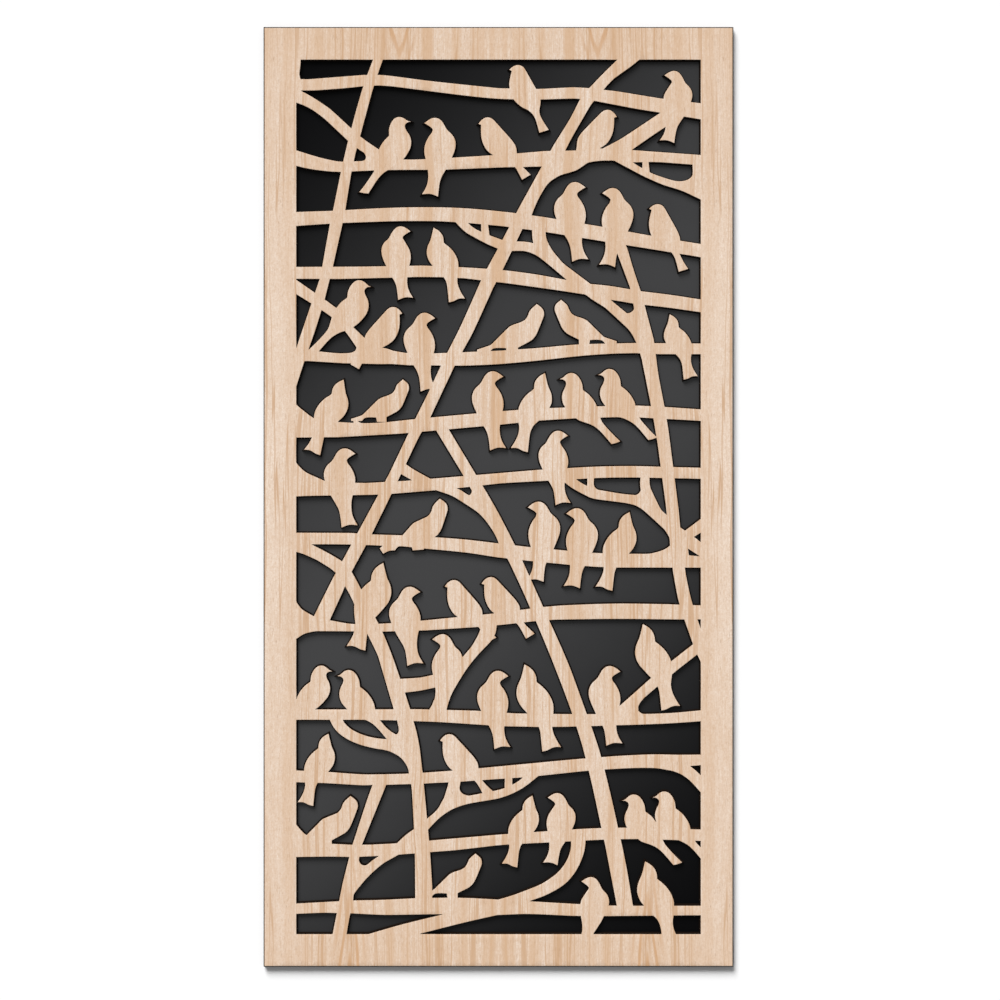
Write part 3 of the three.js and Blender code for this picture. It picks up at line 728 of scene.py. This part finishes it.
def black_board_painted_sheen_material():
    """Black board with painted sheen: near black at two opposite corners, with a lighter grey painted on the
    slant between that stands in for a soft reflection.

    The painted sheen is a bell: e to the power of minus half of the slant distance, raised to
    PAINTED_SHEEN_FALL. The coat's weight follows the same band.
    """
    material, mix, shader = new_material("black_with_painted_sheen", 0.4, 0.05)
    shader["Coat Roughness"].default_value = 0.34
    place = mix.node("ShaderNodeTexCoord").outputs["Object"]
    grit = use_group(mix, GRIT, Vector=place, Fine_Scale=1900.0, Coarse_Scale=9.0)
    x, _, z = mix.split(place)
    slant = mix.math("MULTIPLY", mix.math("SUBTRACT", x, z), math.sqrt(0.5) / PAINTED_SHEEN_WIDTH)
    fall = mix.math("POWER", mix.math("ABSOLUTE", slant), PAINTED_SHEEN_FALL)
    bell = mix.math("POWER", math.e, mix.math("MULTIPLY", fall, -0.5))
    cloud = mix.ramp(grit["Coarse"], 0.2, 0.8, 0.94, 1.06, "LINEAR")
    painted_sheen_and_coat = mix.product(bell, cloud)
    # painted sheen: the base colour turns from near black to a lighter grey along the slant, standing in for
    # a soft reflection; the same mask also sets the coat's weight
    ground = mix.blend(painted_sheen_and_coat, tone(4, 4, 5), tone(57, 57, 58))
    mix.set(shader["Base Color"], ground)
    mix.set(shader["Coat Weight"], painted_sheen_and_coat)
    mix.set(shader["Roughness"], mix.ramp(grit["Fine"], 0.25, 0.75, 0.32, 0.42))
    mix.set(shader["Normal"], mix.bump(grit["Fine"], 0.00002, 0.25))
    return material


def board_back_material():
    """The board's unpolished back: soft black with a pressed mesh, pale dust in patches and light rubs."""
    material, mix, shader = new_material("rough_black", 0.62, 0.2)
    place = mix.node("ShaderNodeTexCoord").outputs["Object"]
    grit = use_group(mix, GRIT, Vector=place, Fine_Scale=1100.0, Coarse_Scale=7.0)
    rub = mix.noise(mix.stretch(place, (14.0, 1.0, 160.0)), 1.0, 3.0, 0.6)
    x, _, z = mix.split(place)
    across = mix.math("SINE", mix.math("MULTIPLY", x, MESH_TURNS))
    upright = mix.math("SINE", mix.math("MULTIPLY", z, MESH_TURNS))
    ground = mix.blend(mix.ramp(grit["Coarse"], 0.3, 0.7), tone(47, 47, 48), tone(61, 60, 59))
    ground = mix.blend(mix.ramp(rub, 0.6, 0.76, 0.0, 0.4), ground, tone(92, 90, 87))
    ground = mix.blend(mix.ramp(grit["Fine"], 0.64, 0.8, 0.0, 0.5), ground, tone(104, 101, 96))
    mix.set(shader["Base Color"], ground)
    mix.set(shader["Roughness"], mix.ramp(rub, 0.3, 0.75, 0.7, 0.5))
    relief = mix.math("ADD", mix.product(across, upright, 0.5), grit["Fine"])
    mix.set(shader["Normal"], mix.bump(relief, 0.00012, 0.6))
    return material


# The panel

veneer = veneer_material()
charred = charred_edge_material()
black_with_painted_sheen = black_board_painted_sheen_material()
rough_black = board_back_material()

sheet = cut_plate(
    "cut_sheet",
    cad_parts["openwork_sheet"],
    SHEET_FRONT,
    SHEET_BACK,
    CUT_ROUNDING,
    RIM_ROUNDING,
    KERF_LEAN,
    [veneer, charred, veneer],
    True,
)
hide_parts("openwork_sheet")
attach(sheet, "root")

board = cut_plate(
    "black_back",
    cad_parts["backing_board"],
    BOARD_FRONT,
    BOARD_BACK,
    BOARD_ROUNDING,
    BOARD_ROUNDING,
    0.0,
    [black_with_painted_sheen, black_with_painted_sheen, rough_black],
    False,
)
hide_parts("backing_board")
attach(board, "root")

# Room, light and camera


def room_plane(name, corners, material):
    """A flat rectangle of the room, through four corners."""
    mesh = bpy.data.meshes.new(name)
    mesh.from_pydata(corners, [], [(0, 1, 2, 3)])
    mesh.materials.append(material)
    plane = bpy.data.objects.new(name, mesh)
    bpy.context.scene.collection.objects.link(plane)
    return plane


def wall_material():
    """White wall, which can't be seen from behind."""
    material, mix, shader = new_material("white_wall", 0.9, 0.0)
    shader["Base Color"].default_value = (0.95, 0.95, 0.95, 1.0)
    behind = mix.node("ShaderNodeNewGeometry").outputs["Backfacing"]
    clear = mix.node("ShaderNodeBsdfTransparent")
    choose = mix.node("ShaderNodeMixShader")
    nodes = material.node_tree.nodes
    mix.set(choose.inputs[0], behind)
    mix.set(choose.inputs[1], nodes["Principled BSDF"].outputs[0])
    mix.set(choose.inputs[2], clear.outputs[0])
    mix.set(nodes["Material Output"].inputs["Surface"], choose.outputs[0])
    return material


floor_material, _, floor_shader = new_material("pale_floor", 0.8, 0.1)
floor_shader["Base Color"].default_value = (0.86, 0.86, 0.85, 1.0)
wall = room_plane(
    "wall",
    [
        (-ROOM_HALF, WALL_FACE, FLOOR_LEVEL),
        (ROOM_HALF, WALL_FACE, FLOOR_LEVEL),
        (ROOM_HALF, WALL_FACE, ROOM_HALF),
        (-ROOM_HALF, WALL_FACE, ROOM_HALF),
    ],
    wall_material(),
)
wall.visible_shadow = False
wall.visible_diffuse = False
floor = room_plane(
    "floor",
    [
        (-ROOM_HALF, -FLOOR_REACH, FLOOR_LEVEL),
        (ROOM_HALF, -FLOOR_REACH, FLOOR_LEVEL),
        (ROOM_HALF, FLOOR_REACH, FLOOR_LEVEL),
        (-ROOM_HALF, FLOOR_REACH, FLOOR_LEVEL),
    ],
    floor_material,
)
floor.visible_diffuse = False
floor.visible_glossy = False


def sun(name, direction, strength, spread):
    """A large soft lamp, far off, that shines along the direction."""
    data = bpy.data.lights.new(name, "SUN")
    data.energy = strength
    data.angle = math.radians(spread)
    lamp = bpy.data.objects.new(name, data)
    lamp.rotation_euler = Vector(direction).to_track_quat("-Z", "Y").to_euler()
    bpy.context.scene.collection.objects.link(lamp)
    return lamp


key = sun("key_softbox", (0.45, 1.0, -1.25), KEY_STRENGTH, 33.0)
rear = sun("rear_softbox", (0.35, -1.0, -0.55), REAR_STRENGTH, 60.0)
key.visible_glossy = False
rear.visible_glossy = False

# The camera sees the air as white, gloss mirrors the studio, and everything else gets the soft fill.
scene = bpy.context.scene
scene.view_settings.view_transform = "Standard"
world = bpy.data.worlds.new("studio")
scene.world = world
world.use_nodes = True
air = Mixer(world.node_tree)
rays = air.node("ShaderNodeLightPath").outputs
seen = air.node("ShaderNodeBackground")
seen.inputs["Color"].default_value = (1.0, 1.0, 1.0, 1.0)
lit = air.node("ShaderNodeBackground")
lit.inputs["Color"].default_value = (1.0, 1.0, 1.0, 1.0)
way = air.node("ShaderNodeTexCoord").outputs["Generated"]
_, ahead, _ = air.split(way)
mirrored = air.ramp(ahead, -0.9, -0.35, DARK_STUDIO, LIT_STUDIO)
glossy = rays["Is Glossy Ray"]
fill = air.ramp(glossy, 0.0, 1.0, FILL_STRENGTH, 0.0)
air.set(lit.inputs["Strength"], air.math("ADD", air.product(glossy, mirrored), fill))
choice = air.node("ShaderNodeMixShader")
air.set(choice.inputs[0], rays["Is Camera Ray"])
air.set(choice.inputs[1], lit.outputs[0])
air.set(choice.inputs[2], seen.outputs[0])
air.set(world.node_tree.nodes["World Output"].inputs["Surface"], choice.outputs[0])

distance = PIXEL * PHOTO_SIDE * FOCAL / SENSOR
lens = bpy.data.cameras.new("camera")
lens.lens, lens.sensor_width = FOCAL, SENSOR
camera = bpy.data.objects.new("camera", lens)
camera.location = (PHOTO_LEFT * PIXEL, SHEET_FRONT - distance, -PHOTO_UP * PIXEL)
camera.rotation_euler = (math.pi / 2, 0.0, 0.0)
scene.collection.objects.link(camera)
scene.camera = camera
